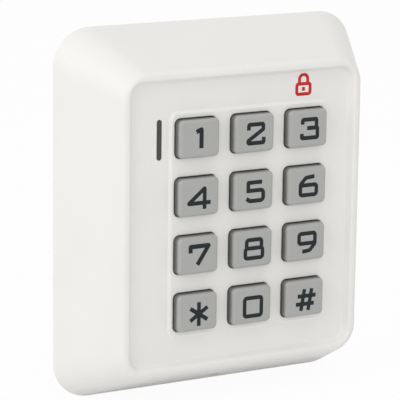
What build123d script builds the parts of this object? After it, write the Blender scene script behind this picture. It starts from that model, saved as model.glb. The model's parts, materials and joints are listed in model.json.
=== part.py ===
"""Surface-mounted alarm keypad panel: twelve sprung keys in a tapered white case.

Millimetres. +X is to the right of a person facing the keys, +Z is up, and the keys face -Y.
The wall is the plane Y = 0 and the origin is the middle of the case's footprint on it.
Depths are distances out from the wall, so a depth of 5 is the plane Y = -5.
"""
import os
from math import atan, cos

from build123d import *

# ---------------------------------------------------------------- driving dimensions

# Case
HOUSING_WIDTH = 97.0           # footprint on the wall
HOUSING_HEIGHT = 107.0
HOUSING_DEPTH = 23.2           # wall to the rim round the key panel
SIDE_LEAN = 10.4               # each side leans in by this much from wall to rim
BACK_CORNER_RADIUS = 11.0
FRONT_CORNER_RADIUS = 7.7
FRONT_EDGE_RADIUS = 1.8
WALL = 2.2                     # square to the leaning side
RIM_WIDTH = 2.0                # rim's outer edge to the mouth of the recess
RECESS_DEPTH = 2.1
RECESS_SLOPE = 1.1             # the recess wall's run from mouth to floor
RECESS_CORNER_RADIUS = 4.2     # at the mouth
RECESS_FLOOR_FILLET = 1.0
RIM_INNER_FILLET = 0.7
PANEL_THICKNESS = 1.8          # recess floor

# Key field
KEY_WIDTH = 12.7
KEY_HEIGHT = 10.8
KEY_GAP = 0.25                 # round each key in its opening
BAR_BETWEEN_COLUMNS = 4.4      # panel left between two openings
BAR_BETWEEN_ROWS = 5.3
KEY_CORNER_RADIUS = 1.4
KEY_EDGE_RADIUS = 1.0
KEY_PROUD = 1.0                # key face in front of the rim
KEY_SKIN = 1.6
KEY_SIDE = 1.4
KEY_LIP = 0.9                  # thickness of the lip that keeps the key in
KEY_LIP_REACH = 0.9
LIP_CLEARANCE = 0.15
KEY_TRAVEL = 1.0
KEY_POST_RADIUS = 2.0
KEY_POST_PROUD = 0.15          # post behind the lip
KEY_RIB = 1.0
KEY_RIB_DEPTH = 2.4
FIELD_OFFSET_X = 2.65          # key field's middle from the case's middle
FIELD_OFFSET_Z = -0.8
PLATEAU_RISE = 0.5
PLATEAU_SIDE_MARGIN = 0.8      # round the openings
PLATEAU_END_MARGIN = 1.2
PLATEAU_BEVEL = 0.85
PLATEAU_CORNER_RADIUS = 1.8
OPENING_EDGE_RADIUS = 0.3
KEY_NAMES = [["1", "2", "3"], ["4", "5", "6"], ["7", "8", "9"], ["star", "0", "hash"]]

# Key switches
SWITCH_SIDE = 6.0
SWITCH_HEIGHT = 3.5
SWITCH_CHAMFER = 0.4
SWITCH_FLOOR = 1.0             # left under the plunger's bore
PLUNGER_RADIUS = 1.7
PLUNGER_PROUD = 1.6
PLUNGER_RUNNING_GAP = 0.05
PLUNGER_END_GAP = 0.2          # under the plunger at full travel

# Circuit board
BOARD_ROOM = 3.25              # board's edge to the case's inside wall
BOARD_THICKNESS = 1.6
BOARD_CORNER_RADIUS = 5.0
BOARD_HOLE_INSET = 4.0
BOARD_HOLE_RADIUS = 1.5
BOSS_RADIUS = 2.9
BOSS_PILOT_DEPTH = 5.0
BOARD_SCREW_RADIUS = 1.2
BOARD_SCREW_HEAD_RADIUS = 2.4
BOARD_SCREW_HEAD = 1.6
BOARD_SCREW_DRIVE = 2.6
SCREW_TIP_GAP = 0.5
THREAD_GAP = 0.05

# Status window
WINDOW_WIDTH = 1.6
WINDOW_LENGTH = 11.5
WINDOW_GAP = 0.05              # lens in its slot
WINDOW_TO_PLATEAU = 2.2
LENS_FLANGE = 0.6              # reach and thickness
LIGHT_GUIDE_WIDTH = 2.2
LIGHT_GUIDE_LENGTH = 10.6
LED_GAP = 0.5
LED_SIZE = (1.6, 0.9, 1.2)     # across, height off the board, along
LED_PITCH = 3.6

# Rear plate
PLATE_THICKNESS = 2.5
PLATE_GAP = 0.25
PLATE_LIP_HEIGHT = 4.0
PLATE_LIP_THICKNESS = 1.6
SCREW_SPACING_X = 60.0
SCREW_SPACING_Z = 70.0
SCREW_SLOT_RADIUS = 2.2
SCREW_SLOT_LENGTH = 8.0
SLOT_PAD_MARGIN = 2.6
SLOT_PAD_HEIGHT = 0.8
CABLE_HOLE_RADIUS = 9.0
CABLE_HOLE_Z = 20.0
SCORE_DEPTH = 0.7
SCORE_WIDTH = 0.8
KNOCKOUT_SIZE = (14.0, 8.0)
KNOCKOUT_CORNER_RADIUS = 1.5
KNOCKOUT_Z = -24.0
PLATE_RIB_HEIGHT = 1.5
PLATE_RIB_THICKNESS = 1.4
PLATE_RIB_ROOM = 0.3           # terminal block to the rib

# Cover hooks and locking screw
HOOK_X = 22.0
HOOK_WIDTH = 8.0
HOOK_THICKNESS = 1.8
HOOK_BITE = 0.9                # hook behind the cover's catch
HOOK_SIDE_ROOM = 3.0
CATCH_ROOM = 0.9               # rear plate to the catch
CATCH_THICKNESS = 2.0
CATCH_REACH = 2.2
CATCH_GAP = 0.15
COVER_SCREW_RADIUS = 1.0
COVER_SCREW_LENGTH = 8.0
COVER_SCREW_HEAD_RADIUS = 1.9
COVER_SCREW_HEAD = 1.3
COVER_SCREW_DRIVE = 2.2
SCREW_POCKET_GAP = 0.2
SCREW_DRIVE_DEPTH = 0.9
SCREW_DRIVE_WIDTH = 0.7
COVER_BOSS_SIZE = (11.0, 6.8)  # along X and out from the wall
COVER_BOSS_HEIGHT = 2.5
COVER_BOSS_ROOM = 0.3          # rear plate to the boss
LUG_WIDTH = 9.0
LUG_DEPTH = 7.6
LUG_GAP = 0.2
LUG_BEYOND_SCREW = 1.5

# Tamper switch
TAMPER_AT = (-28.0, -20.0)
TAMPER_SIDE = 6.4
TAMPER_HEIGHT = 4.2
TAMPER_ROOF = 1.0
TAMPER_STEM_RADIUS = 1.6
TAMPER_COLLAR_RADIUS = 2.3
TAMPER_COLLAR = 0.6
TAMPER_TRAVEL = 2.0
TAMPER_PLATE_HOLE_RADIUS = 2.3

# Parts on the back of the board: middle (x, z) and sizes
BUZZER_AT = (-23.0, 26.0)
BUZZER_RADIUS = 6.0
BUZZER_HEIGHT = 6.0
BUZZER_HOLE_RADIUS = 1.0
CAN_EDGE_RADIUS = 0.4          # buzzer, crystal and capacitors
TERMINAL_AT = (2.0, -3.0)
TERMINAL_WAYS = 5
TERMINAL_PITCH = 5.0
TERMINAL_DEPTH = 8.0
TERMINAL_HEIGHT = 7.0
TERMINAL_SCREW_RADIUS = 1.7
TERMINAL_SCREW_GAP = 0.2
TERMINAL_CHAMFER = 0.8
WIRE_HOLE = 2.8
CHIP_AT = (22.0, 27.0)
CHIP_SIDE = 10.0
CHIP_HEIGHT = 1.4
CHIP_CHAMFER = 0.2
CHIP_LEADS = 11
CHIP_LEAD_PITCH = 0.8
LEAD_SIZE = (0.45, 1.0)        # width and reach
LEAD_THICKNESS = 0.3
BUS_CHIP_AT = (20.0, -16.0)
BUS_CHIP_SIZE = (5.0, 4.0)
BUS_CHIP_LEADS = 4
BUS_CHIP_LEAD_PITCH = 1.27
REGULATOR_AT = (-9.0, -20.0)
REGULATOR_SIZE = (6.5, 3.5)
REGULATOR_LEADS = 3
REGULATOR_LEAD_PITCH = 2.3
CRYSTAL_AT = (22.0, 15.5)
CRYSTAL_SIZE = (11.0, 4.6)
CRYSTAL_HEIGHT = 3.4
CAPACITOR_PLACES = [(-9.0, -30.0), (1.0, -30.0)]
CAPACITOR_RADIUS = 3.1
CAPACITOR_HEIGHT = 5.6
HEADER_AT = (22.0, -29.0)
HEADER_PINS = 3
HEADER_PITCH = 2.54
HEADER_PIN = 0.64
JUMPER_PIN_GAP = 0.04
JUMPER_ROOF = 0.4
CHIP_PART_SIZE = (2.0, 0.6, 1.25)
CHIP_PART_STEP = 4.0
CHIP_PART_ROWS = [             # first (x, z), number, step direction
    ((-18.0, 12.0), 5, (1, 0)),
    ((10.0, 38.0), 5, (1, 0)),
    ((30.0, -22.0), 6, (0, 1)),
]

FULL_ROUND_TRIM = 0.01         # a full round end keeps this much of a flat
CUT_OVERSHOOT = 1.0            # cutting tools run this far past a face
NEAR = 0.02                    # two depths or lines this close are the same

# ---------------------------------------------------------------- depths that follow from them

floor_depth = HOUSING_DEPTH - RECESS_DEPTH
plateau_depth = floor_depth + PLATEAU_RISE
panel_back = floor_depth - PANEL_THICKNESS
key_face = HOUSING_DEPTH + KEY_PROUD
lip_front = panel_back - LIP_CLEARANCE
lip_back = lip_front - KEY_LIP
post_end = lip_back - KEY_POST_PROUD
switch_top = post_end - PLUNGER_PROUD
board_front = switch_top - SWITCH_HEIGHT
board_back = board_front - BOARD_THICKNESS
catch_depth = PLATE_THICKNESS + CATCH_ROOM
cover_screw_depth = PLATE_THICKNESS + COVER_BOSS_ROOM + COVER_BOSS_SIZE[1] / 2

wall_across = WALL / cos(atan(SIDE_LEAN / HOUSING_DEPTH))
key_pitch_x = KEY_WIDTH + 2 * KEY_GAP + BAR_BETWEEN_COLUMNS
key_pitch_z = KEY_HEIGHT + 2 * KEY_GAP + BAR_BETWEEN_ROWS
field_width = 3 * (KEY_WIDTH + 2 * KEY_GAP) + 2 * BAR_BETWEEN_COLUMNS
field_height = 4 * (KEY_HEIGHT + 2 * KEY_GAP) + 3 * BAR_BETWEEN_ROWS
plateau_width = field_width + 2 * PLATEAU_SIDE_MARGIN
plateau_height = field_height + 2 * PLATEAU_END_MARGIN
window_x = (FIELD_OFFSET_X - plateau_width / 2 - PLATEAU_BEVEL
            - WINDOW_TO_PLATEAU - WINDOW_WIDTH / 2)
window_z = FIELD_OFFSET_Z + 1.5 * key_pitch_z


# ---------------------------------------------------------------- small helpers

def block(width, height, depth_0, depth_1, x=0.0, z=0.0, radius=0.0):
    """A slab parallel to the wall between two depths, its corners rounded if asked."""
    outline = RectangleRounded(width, height, radius) if radius else Rectangle(width, height)
    return extrude(Plane.XZ.offset(depth_0) * Pos(x, z) * outline, depth_1 - depth_0)


def rod(radius, depth_0, depth_1, x=0.0, z=0.0):
    """A round bar square to the wall between two depths."""
    return extrude(Plane.XZ.offset(depth_0) * Pos(x, z) * Circle(radius), depth_1 - depth_0)


def upright_rod(radius, x, depth, z_0, z_1):
    """A round bar along Z at a depth."""
    return extrude(Plane.XY.offset(z_0) * Pos(x, -depth) * Circle(radius), z_1 - z_0)


def rounded_loft(size_0, radius_0, depth_0, size_1, radius_1, depth_1, x=0.0, z=0.0):
    """A straight-sided solid between two rounded rectangles at two depths."""
    ends = [
        Plane.XZ.offset(depth_0) * Pos(x, z) * RectangleRounded(*size_0, radius_0),
        Plane.XZ.offset(depth_1) * Pos(x, z) * RectangleRounded(*size_1, radius_1),
    ]
    return loft(ends, ruled=True)


def edges_at_depth(shape, depth):
    return shape.edges().filter_by_position(Axis.Y, -depth - NEAR, -depth + NEAR)


def edges_within(shape, depth, size, x, z):
    """The edges at a depth whose middles lie inside a rectangle or on its sides."""
    return [edge for edge in edges_at_depth(shape, depth)
            if abs(edge.center().X - x) < size[0] / 2 + NEAR
            and abs(edge.center().Z - z) < size[1] / 2 + NEAR]


def housing_outline(depth, inset):
    """Size and corner radius of the leaning case at a depth, set in by inset."""
    share = depth / HOUSING_DEPTH
    shrink = 2 * (SIDE_LEAN * share + inset)
    corner = BACK_CORNER_RADIUS + (FRONT_CORNER_RADIUS - BACK_CORNER_RADIUS) * share - inset
    return (HOUSING_WIDTH - shrink, HOUSING_HEIGHT - shrink), corner


def housing_solid(depth_0, depth_1, inset):
    """The case's leaning form between two depths, set in by inset."""
    size_0, corner_0 = housing_outline(depth_0, inset)
    size_1, corner_1 = housing_outline(depth_1, inset)
    return rounded_loft(size_0, corner_0, depth_0, size_1, corner_1, depth_1)


def inner_half_height(depth):
    return housing_outline(depth, wall_across)[0][1] / 2


board_width, board_height = housing_outline(board_front, wall_across + BOARD_ROOM)[0]


def key_places():
    """Name and middle of each key, row by row from the top left."""
    for row, names in enumerate(KEY_NAMES):
        for column, name in enumerate(names):
            x = FIELD_OFFSET_X + (column - 1) * key_pitch_x
            z = FIELD_OFFSET_Z + (1.5 - row) * key_pitch_z
            yield name, x, z


def board_hole_places():
    x = board_width / 2 - BOARD_HOLE_INSET
    z = board_height / 2 - BOARD_HOLE_INSET
    return [(side * x, end * z) for side in (-1, 1) for end in (-1, 1)]


# ---------------------------------------------------------------- front cover

cover_screw_seat = inner_half_height(cover_screw_depth) + wall_across - WALL
cover_boss_end = cover_screw_seat - COVER_BOSS_HEIGHT
catch_edge = inner_half_height(catch_depth + CATCH_THICKNESS) - CATCH_REACH


def make_recess():
    """The dished space that is cut out of the case's front."""
    (front_width, front_height), _ = housing_outline(HOUSING_DEPTH, 0)
    mouth = (front_width - 2 * RIM_WIDTH, front_height - 2 * RIM_WIDTH)
    base = (mouth[0] - 2 * RECESS_SLOPE, mouth[1] - 2 * RECESS_SLOPE)
    tool = rounded_loft(
        base, RECESS_CORNER_RADIUS - RECESS_SLOPE, floor_depth,
        mouth, RECESS_CORNER_RADIUS, HOUSING_DEPTH)
    tool = fillet(edges_at_depth(tool, floor_depth), RECESS_FLOOR_FILLET)
    return tool


def make_plateau():
    """The low raised field that the keys stand in."""
    base = (plateau_width + 2 * PLATEAU_BEVEL, plateau_height + 2 * PLATEAU_BEVEL)
    top = (plateau_width, plateau_height)
    foot = block(*base, panel_back, floor_depth, FIELD_OFFSET_X, FIELD_OFFSET_Z,
                 PLATEAU_CORNER_RADIUS + PLATEAU_BEVEL)
    rise = rounded_loft(
        base, PLATEAU_CORNER_RADIUS + PLATEAU_BEVEL, floor_depth,
        top, PLATEAU_CORNER_RADIUS, plateau_depth, FIELD_OFFSET_X, FIELD_OFFSET_Z)
    return foot + rise


def make_front_cover():
    shell = housing_solid(0, HOUSING_DEPTH, 0)
    shell = fillet(edges_at_depth(shell, HOUSING_DEPTH), FRONT_EDGE_RADIUS)
    shell -= make_recess()
    mouth = housing_outline(HOUSING_DEPTH, RIM_WIDTH)[0]
    shell = fillet(edges_within(shell, HOUSING_DEPTH, mouth, 0, 0), RIM_INNER_FILLET)
    shell -= housing_solid(0, panel_back, wall_across)
    shell += make_plateau()

    # openings for the keys, with softened edges
    for _, x, z in key_places():
        shell -= block(KEY_WIDTH + 2 * KEY_GAP, KEY_HEIGHT + 2 * KEY_GAP, panel_back - CUT_OVERSHOOT,
                       key_face, x, z, KEY_CORNER_RADIUS + KEY_GAP)
    opening_edges = edges_within(shell, plateau_depth, (field_width, field_height),
                                 FIELD_OFFSET_X, FIELD_OFFSET_Z)
    shell = fillet(opening_edges, OPENING_EDGE_RADIUS)

    # slot for the status window
    shell -= block(WINDOW_WIDTH, WINDOW_LENGTH, panel_back - CUT_OVERSHOOT, HOUSING_DEPTH,
                   window_x, window_z, WINDOW_WIDTH / 2 - FULL_ROUND_TRIM)

    # bosses that carry the circuit board
    for x, z in board_hole_places():
        shell += rod(BOSS_RADIUS, board_front, panel_back, x, z)
        shell -= rod(BOARD_SCREW_RADIUS + THREAD_GAP, board_front,
                     board_front + BOSS_PILOT_DEPTH, x, z)

    # catches for the rear plate's hooks, inside the top wall
    catch_top = inner_half_height(catch_depth) + wall_across / 2
    for side in (-1, 1):
        shell += block(HOOK_WIDTH + HOOK_SIDE_ROOM, catch_top - catch_edge,
                       catch_depth, catch_depth + CATCH_THICKNESS,
                       side * HOOK_X, (catch_top + catch_edge) / 2)

    # boss, hole and head pocket for the locking screw, in the bottom wall
    boss = Pos(0, -cover_screw_depth, -(cover_screw_seat + cover_boss_end) / 2) * Box(
        COVER_BOSS_SIZE[0], COVER_BOSS_SIZE[1], cover_screw_seat - cover_boss_end + 2 * WALL)
    boss -= Pos(0, -cover_screw_depth, -cover_boss_end + WALL) * Box(
        COVER_BOSS_SIZE[0] + CUT_OVERSHOOT, COVER_BOSS_SIZE[1] + CUT_OVERSHOOT, 2 * WALL)
    shell += boss & housing_solid(0, HOUSING_DEPTH, wall_across / 2)
    shell -= upright_rod(COVER_SCREW_RADIUS + THREAD_GAP, 0, cover_screw_depth,
                         -HOUSING_HEIGHT / 2, -cover_boss_end + CUT_OVERSHOOT)
    shell -= upright_rod(COVER_SCREW_HEAD_RADIUS + SCREW_POCKET_GAP, 0, cover_screw_depth,
                         -HOUSING_HEIGHT / 2, -cover_screw_seat)
    return shell


# ---------------------------------------------------------------- keys and their switches

def make_key(x, z):
    """A hollow cap with a lip behind the panel and a post that presses its switch."""
    key = block(KEY_WIDTH, KEY_HEIGHT, lip_back, key_face, x, z, KEY_CORNER_RADIUS)
    key = fillet(edges_at_depth(key, key_face), KEY_EDGE_RADIUS)
    key += block(KEY_WIDTH + 2 * KEY_LIP_REACH, KEY_HEIGHT + 2 * KEY_LIP_REACH,
                 lip_back, lip_front, x, z, KEY_CORNER_RADIUS)
    ceiling = key_face - KEY_SKIN
    hollow = (KEY_WIDTH - 2 * KEY_SIDE, KEY_HEIGHT - 2 * KEY_SIDE)
    key -= block(*hollow, lip_back, ceiling, x, z)
    key += block(hollow[0], KEY_RIB, ceiling - KEY_RIB_DEPTH, ceiling, x, z)
    key += block(KEY_RIB, hollow[1], ceiling - KEY_RIB_DEPTH, ceiling, x, z)
    key += rod(KEY_POST_RADIUS, post_end, ceiling, x, z)
    return key


def make_plunger(x, z):
    inner_end = board_front + SWITCH_FLOOR + PLUNGER_END_GAP + KEY_TRAVEL
    return rod(PLUNGER_RADIUS, inner_end, post_end, x, z)


def make_switch_body(x, z):
    body = block(SWITCH_SIDE, SWITCH_SIDE, board_front, switch_top, x, z)
    body = chamfer(edges_at_depth(body, switch_top), SWITCH_CHAMFER)
    return body - rod(PLUNGER_RADIUS + PLUNGER_RUNNING_GAP,
                      board_front + SWITCH_FLOOR, switch_top, x, z)


# ---------------------------------------------------------------- board and status lights

def make_board():
    board = block(board_width, board_height, board_back, board_front, radius=BOARD_CORNER_RADIUS)
    for x, z in board_hole_places():
        board -= rod(BOARD_HOLE_RADIUS, board_back, board_front, x, z)
    return board


def make_board_screw(x, z):
    head = rod(BOARD_SCREW_HEAD_RADIUS, board_back - BOARD_SCREW_HEAD, board_back, x, z)
    head = fillet(edges_at_depth(head, board_back - BOARD_SCREW_HEAD), BOARD_SCREW_HEAD / 3)
    drive_0 = board_back - BOARD_SCREW_HEAD
    for width, height in ((BOARD_SCREW_DRIVE, SCREW_DRIVE_WIDTH),
                          (SCREW_DRIVE_WIDTH, BOARD_SCREW_DRIVE)):
        head -= block(width, height, drive_0, drive_0 + SCREW_DRIVE_DEPTH, x, z)
    tip = board_front + BOSS_PILOT_DEPTH - SCREW_TIP_GAP
    return head + rod(BOARD_SCREW_RADIUS, board_back, tip, x, z)


def make_status_lens():
    lens = block(WINDOW_WIDTH - 2 * WINDOW_GAP, WINDOW_LENGTH - 2 * WINDOW_GAP,
                 panel_back, floor_depth, window_x, window_z,
                 WINDOW_WIDTH / 2 - WINDOW_GAP - FULL_ROUND_TRIM)
    lens += block(WINDOW_WIDTH + 2 * LENS_FLANGE, WINDOW_LENGTH + 2 * LENS_FLANGE,
                  panel_back - LENS_FLANGE, panel_back, window_x, window_z, WINDOW_WIDTH / 2)
    guide_end = board_front + LED_SIZE[1] + LED_GAP
    return lens + block(LIGHT_GUIDE_WIDTH, LIGHT_GUIDE_LENGTH, guide_end, panel_back - LENS_FLANGE,
                        window_x, window_z)


def make_status_leds():
    return [block(LED_SIZE[0], LED_SIZE[2], board_front, board_front + LED_SIZE[1],
                  window_x, window_z + step * LED_PITCH) for step in (-1, 0, 1)]


# ---------------------------------------------------------------- rear plate

def slot(length, radius, depth_0, depth_1, x, z):
    shape = Plane.XZ.offset(depth_0) * Pos(x, z) * SlotOverall(length, 2 * radius)
    return extrude(shape, depth_1 - depth_0)


def make_rear_plate():
    inset = wall_across + PLATE_GAP
    lip_top = PLATE_THICKNESS + PLATE_LIP_HEIGHT
    plate = housing_solid(0, PLATE_THICKNESS, inset)
    lip = housing_solid(PLATE_THICKNESS, lip_top, inset)
    lip -= housing_solid(PLATE_THICKNESS, lip_top, inset + PLATE_LIP_THICKNESS)
    top = HOUSING_HEIGHT / 2
    notch = HOOK_WIDTH + 2 * HOOK_SIDE_ROOM
    for side in (-1, 1):
        lip -= block(notch, top, PLATE_THICKNESS, lip_top, side * HOOK_X, top)
    lip -= block(COVER_BOSS_SIZE[0] + HOOK_SIDE_ROOM, top, PLATE_THICKNESS, lip_top, 0, -top)
    plate += lip

    # hooks behind the cover's catches
    hook_top = catch_depth + CATCH_THICKNESS + CATCH_GAP
    post_z = catch_edge - CATCH_GAP - HOOK_THICKNESS / 2
    for side in (-1, 1):
        plate += block(HOOK_WIDTH, HOOK_THICKNESS, PLATE_THICKNESS, hook_top + HOOK_THICKNESS,
                       side * HOOK_X, post_z)
        tongue = HOOK_THICKNESS + CATCH_GAP + HOOK_BITE
        plate += block(HOOK_WIDTH, tongue, hook_top, hook_top + HOOK_THICKNESS,
                       side * HOOK_X, post_z - HOOK_THICKNESS / 2 + tongue / 2)

    # lug that the locking screw bites into
    lug_low = -cover_boss_end + LUG_GAP
    screw_tip = -cover_screw_seat + COVER_SCREW_LENGTH
    lug_high = screw_tip + LUG_BEYOND_SCREW
    plate += block(LUG_WIDTH, lug_high - lug_low, PLATE_THICKNESS, PLATE_THICKNESS + LUG_DEPTH,
                   0, (lug_low + lug_high) / 2)
    plate -= upright_rod(COVER_SCREW_RADIUS + THREAD_GAP, 0, cover_screw_depth,
                         lug_low, screw_tip + SCREW_TIP_GAP)

    # stiffening ribs on the inside, clear of the terminal block
    rib_x = (TERMINAL_WAYS * TERMINAL_PITCH / 2 + abs(TERMINAL_AT[0])
             + PLATE_RIB_ROOM + PLATE_RIB_THICKNESS / 2)
    rib_length = SCREW_SPACING_Z - 4 * SCREW_SLOT_RADIUS
    for side in (-1, 1):
        plate += block(PLATE_RIB_THICKNESS, rib_length, PLATE_THICKNESS,
                       PLATE_THICKNESS + PLATE_RIB_HEIGHT, side * rib_x, 0)

    # slots for the wall screws, each in a thicker pad
    for x in (-SCREW_SPACING_X / 2, SCREW_SPACING_X / 2):
        for z in (-SCREW_SPACING_Z / 2, SCREW_SPACING_Z / 2):
            pad_radius = SCREW_SLOT_RADIUS + SLOT_PAD_MARGIN
            plate += slot(SCREW_SLOT_LENGTH + 2 * SLOT_PAD_MARGIN, pad_radius, PLATE_THICKNESS,
                          PLATE_THICKNESS + SLOT_PAD_HEIGHT, x, z)
            plate -= slot(SCREW_SLOT_LENGTH, SCREW_SLOT_RADIUS, 0,
                          PLATE_THICKNESS + SLOT_PAD_HEIGHT, x, z)

    # cable hole, tamper hole and a scored knock-out for a surface cable
    plate -= rod(CABLE_HOLE_RADIUS, 0, PLATE_THICKNESS, 0, CABLE_HOLE_Z)
    plate -= rod(TAMPER_PLATE_HOLE_RADIUS, 0, PLATE_THICKNESS, *TAMPER_AT)
    score = block(*KNOCKOUT_SIZE, 0, SCORE_DEPTH, 0, KNOCKOUT_Z, KNOCKOUT_CORNER_RADIUS)
    score -= block(KNOCKOUT_SIZE[0] - 2 * SCORE_WIDTH, KNOCKOUT_SIZE[1] - 2 * SCORE_WIDTH,
                   0, SCORE_DEPTH, 0, KNOCKOUT_Z, KNOCKOUT_CORNER_RADIUS - SCORE_WIDTH / 2)
    return plate - score


def make_cover_screw():
    """Pan-head screw up through the cover's bottom wall into the rear plate's lug."""
    head = upright_rod(COVER_SCREW_HEAD_RADIUS, 0, cover_screw_depth,
                       -cover_screw_seat - COVER_SCREW_HEAD, -cover_screw_seat)
    low = head.edges().sort_by(Axis.Z)[0]
    head = fillet(low, COVER_SCREW_HEAD / 3)
    for size_x, size_y in ((COVER_SCREW_DRIVE, SCREW_DRIVE_WIDTH),
                           (SCREW_DRIVE_WIDTH, COVER_SCREW_DRIVE)):
        head -= Pos(0, -cover_screw_depth, -cover_screw_seat - COVER_SCREW_HEAD) * Box(
            size_x, size_y, 2 * SCREW_DRIVE_DEPTH)
    return head + upright_rod(COVER_SCREW_RADIUS, 0, cover_screw_depth,
                              -cover_screw_seat, -cover_screw_seat + COVER_SCREW_LENGTH)


# ---------------------------------------------------------------- tamper switch

tamper_face = board_back - TAMPER_HEIGHT


def make_tamper_switch():
    body = block(TAMPER_SIDE, TAMPER_SIDE, tamper_face, board_back, *TAMPER_AT)
    body = chamfer(edges_at_depth(body, tamper_face), SWITCH_CHAMFER)
    body -= rod(TAMPER_STEM_RADIUS + PLUNGER_RUNNING_GAP, tamper_face, board_back, *TAMPER_AT)
    return body - rod(TAMPER_COLLAR_RADIUS + PLUNGER_END_GAP, tamper_face + TAMPER_ROOF,
                      board_back, *TAMPER_AT)


def make_tamper_plunger():
    """Stem that the wall holds in: its collar stops it coming out by the travel."""
    collar_0 = tamper_face + TAMPER_ROOF + TAMPER_TRAVEL
    stem = rod(TAMPER_STEM_RADIUS, 0, collar_0 + TAMPER_COLLAR, *TAMPER_AT)
    stem = fillet(edges_at_depth(stem, 0), TAMPER_STEM_RADIUS / 3)
    return stem + rod(TAMPER_COLLAR_RADIUS, collar_0, collar_0 + TAMPER_COLLAR, *TAMPER_AT)


# ---------------------------------------------------------------- parts on the board's back

def standing(height, width, length, x, z, radius=0.0):
    """A block that stands on the back of the board."""
    return block(width, length, board_back - height, board_back, x, z, radius)


def make_buzzer():
    x, z = BUZZER_AT
    face = board_back - BUZZER_HEIGHT
    can = rod(BUZZER_RADIUS, face, board_back, x, z)
    can = fillet(edges_at_depth(can, face), CAN_EDGE_RADIUS)
    return can - rod(BUZZER_HOLE_RADIUS, face, face + BUZZER_HEIGHT / 3, x, z)


def terminal_places():
    x, z = TERMINAL_AT
    middle = (TERMINAL_WAYS - 1) / 2
    return [(x + (way - middle) * TERMINAL_PITCH, z) for way in range(TERMINAL_WAYS)]


def make_terminal_block():
    x, z = TERMINAL_AT
    face = board_back - TERMINAL_HEIGHT
    body = standing(TERMINAL_HEIGHT, TERMINAL_WAYS * TERMINAL_PITCH, TERMINAL_DEPTH, x, z)
    top_edges = edges_at_depth(body, face).filter_by(Axis.X)
    body = chamfer(top_edges, TERMINAL_CHAMFER)
    for way_x, way_z in terminal_places():
        body -= rod(TERMINAL_SCREW_RADIUS + TERMINAL_SCREW_GAP, face,
                    face + TERMINAL_HEIGHT / 2, way_x, way_z)
        hole_middle = board_back - TERMINAL_HEIGHT / 3
        body -= Pos(way_x, -hole_middle, z + TERMINAL_DEPTH / 2) * Box(
            WIRE_HOLE, WIRE_HOLE, TERMINAL_DEPTH)
    return body


def make_terminal_screws():
    face = board_back - TERMINAL_HEIGHT
    seat = face + TERMINAL_HEIGHT / 2
    screws = []
    for x, z in terminal_places():
        screw = rod(TERMINAL_SCREW_RADIUS, face + TERMINAL_SCREW_GAP, seat, x, z)
        drive = SCREW_DRIVE_DEPTH + TERMINAL_SCREW_GAP
        screws.append(screw - block(2 * TERMINAL_SCREW_RADIUS, SCREW_DRIVE_WIDTH, face,
                                    face + drive, x, z))
    return screws


def leads_beside(x, z, half_width, count, pitch, along_x):
    """Two rows of small leads, one on each side of a chip."""
    width, reach = LEAD_SIZE
    rows = []
    for side in (-1, 1):
        for number in range(count):
            step = (number - (count - 1) / 2) * pitch
            out = side * (half_width + reach / 2)
            place = (x + step, z + out) if along_x else (x + out, z + step)
            size = (width, reach) if along_x else (reach, width)
            rows.append(block(*size, board_back - LEAD_THICKNESS, board_back, *place))
    return rows


def make_chip(at, size, height, count, pitch):
    x, z = at
    body = standing(height, size[0], size[1], x, z)
    body = chamfer(edges_at_depth(body, board_back - height), CHIP_CHAMFER)
    return [body] + leads_beside(x, z, size[1] / 2, count, pitch, True)


def make_microcontroller():
    x, z = CHIP_AT
    solids = make_chip(CHIP_AT, (CHIP_SIDE, CHIP_SIDE), CHIP_HEIGHT,
                       CHIP_LEADS, CHIP_LEAD_PITCH)
    return solids + leads_beside(x, z, CHIP_SIDE / 2, CHIP_LEADS, CHIP_LEAD_PITCH, False)


def make_crystal():
    x, z = CRYSTAL_AT
    can = standing(CRYSTAL_HEIGHT, *CRYSTAL_SIZE, x, z, CRYSTAL_SIZE[1] / 2 - FULL_ROUND_TRIM)
    return fillet(edges_at_depth(can, board_back - CRYSTAL_HEIGHT), CAN_EDGE_RADIUS)


def make_capacitors():
    cans = []
    for x, z in CAPACITOR_PLACES:
        can = rod(CAPACITOR_RADIUS, board_back - CAPACITOR_HEIGHT, board_back, x, z)
        cans.append(fillet(edges_at_depth(can, board_back - CAPACITOR_HEIGHT), CAN_EDGE_RADIUS))
    return cans


header_pin_length = 3 * HEADER_PITCH


def header_pin_places():
    x, z = HEADER_AT
    return [(x + (pin - 1) * HEADER_PITCH, z) for pin in range(HEADER_PINS)]


def make_pin_header():
    x, z = HEADER_AT
    pins = standing(HEADER_PITCH, HEADER_PINS * HEADER_PITCH, HEADER_PITCH, x, z)
    for pin_x, pin_z in header_pin_places():
        pins += standing(header_pin_length, HEADER_PIN, HEADER_PIN, pin_x, pin_z)
    return pins


def make_jumper():
    """A shorting cap over the first two pins of the header."""
    (x_0, z), (x_1, _), _ = header_pin_places()
    x = (x_0 + x_1) / 2
    top = board_back - header_pin_length
    cap = block(2 * HEADER_PITCH, HEADER_PITCH, top - JUMPER_ROOF - JUMPER_PIN_GAP,
                board_back - HEADER_PITCH, x, z)
    hole = HEADER_PIN + 2 * JUMPER_PIN_GAP
    for pin_x in (x_0, x_1):
        cap -= block(hole, hole, top - JUMPER_PIN_GAP, board_back - HEADER_PITCH, pin_x, z)
    return cap


def make_chip_parts():
    """Small resistors and capacitors in two rows and a column."""
    width, height, length = CHIP_PART_SIZE
    parts = []
    for (x, z), number, (along_x, along_z) in CHIP_PART_ROWS:
        for step in range(number):
            place = (x + step * CHIP_PART_STEP * along_x, z + step * CHIP_PART_STEP * along_z)
            parts.append(standing(height, width, length, *place))
    return parts


# ---------------------------------------------------------------- write every sub-part

def as_one(solids):
    return Compound(children=list(solids)) if isinstance(solids, list) else solids


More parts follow.
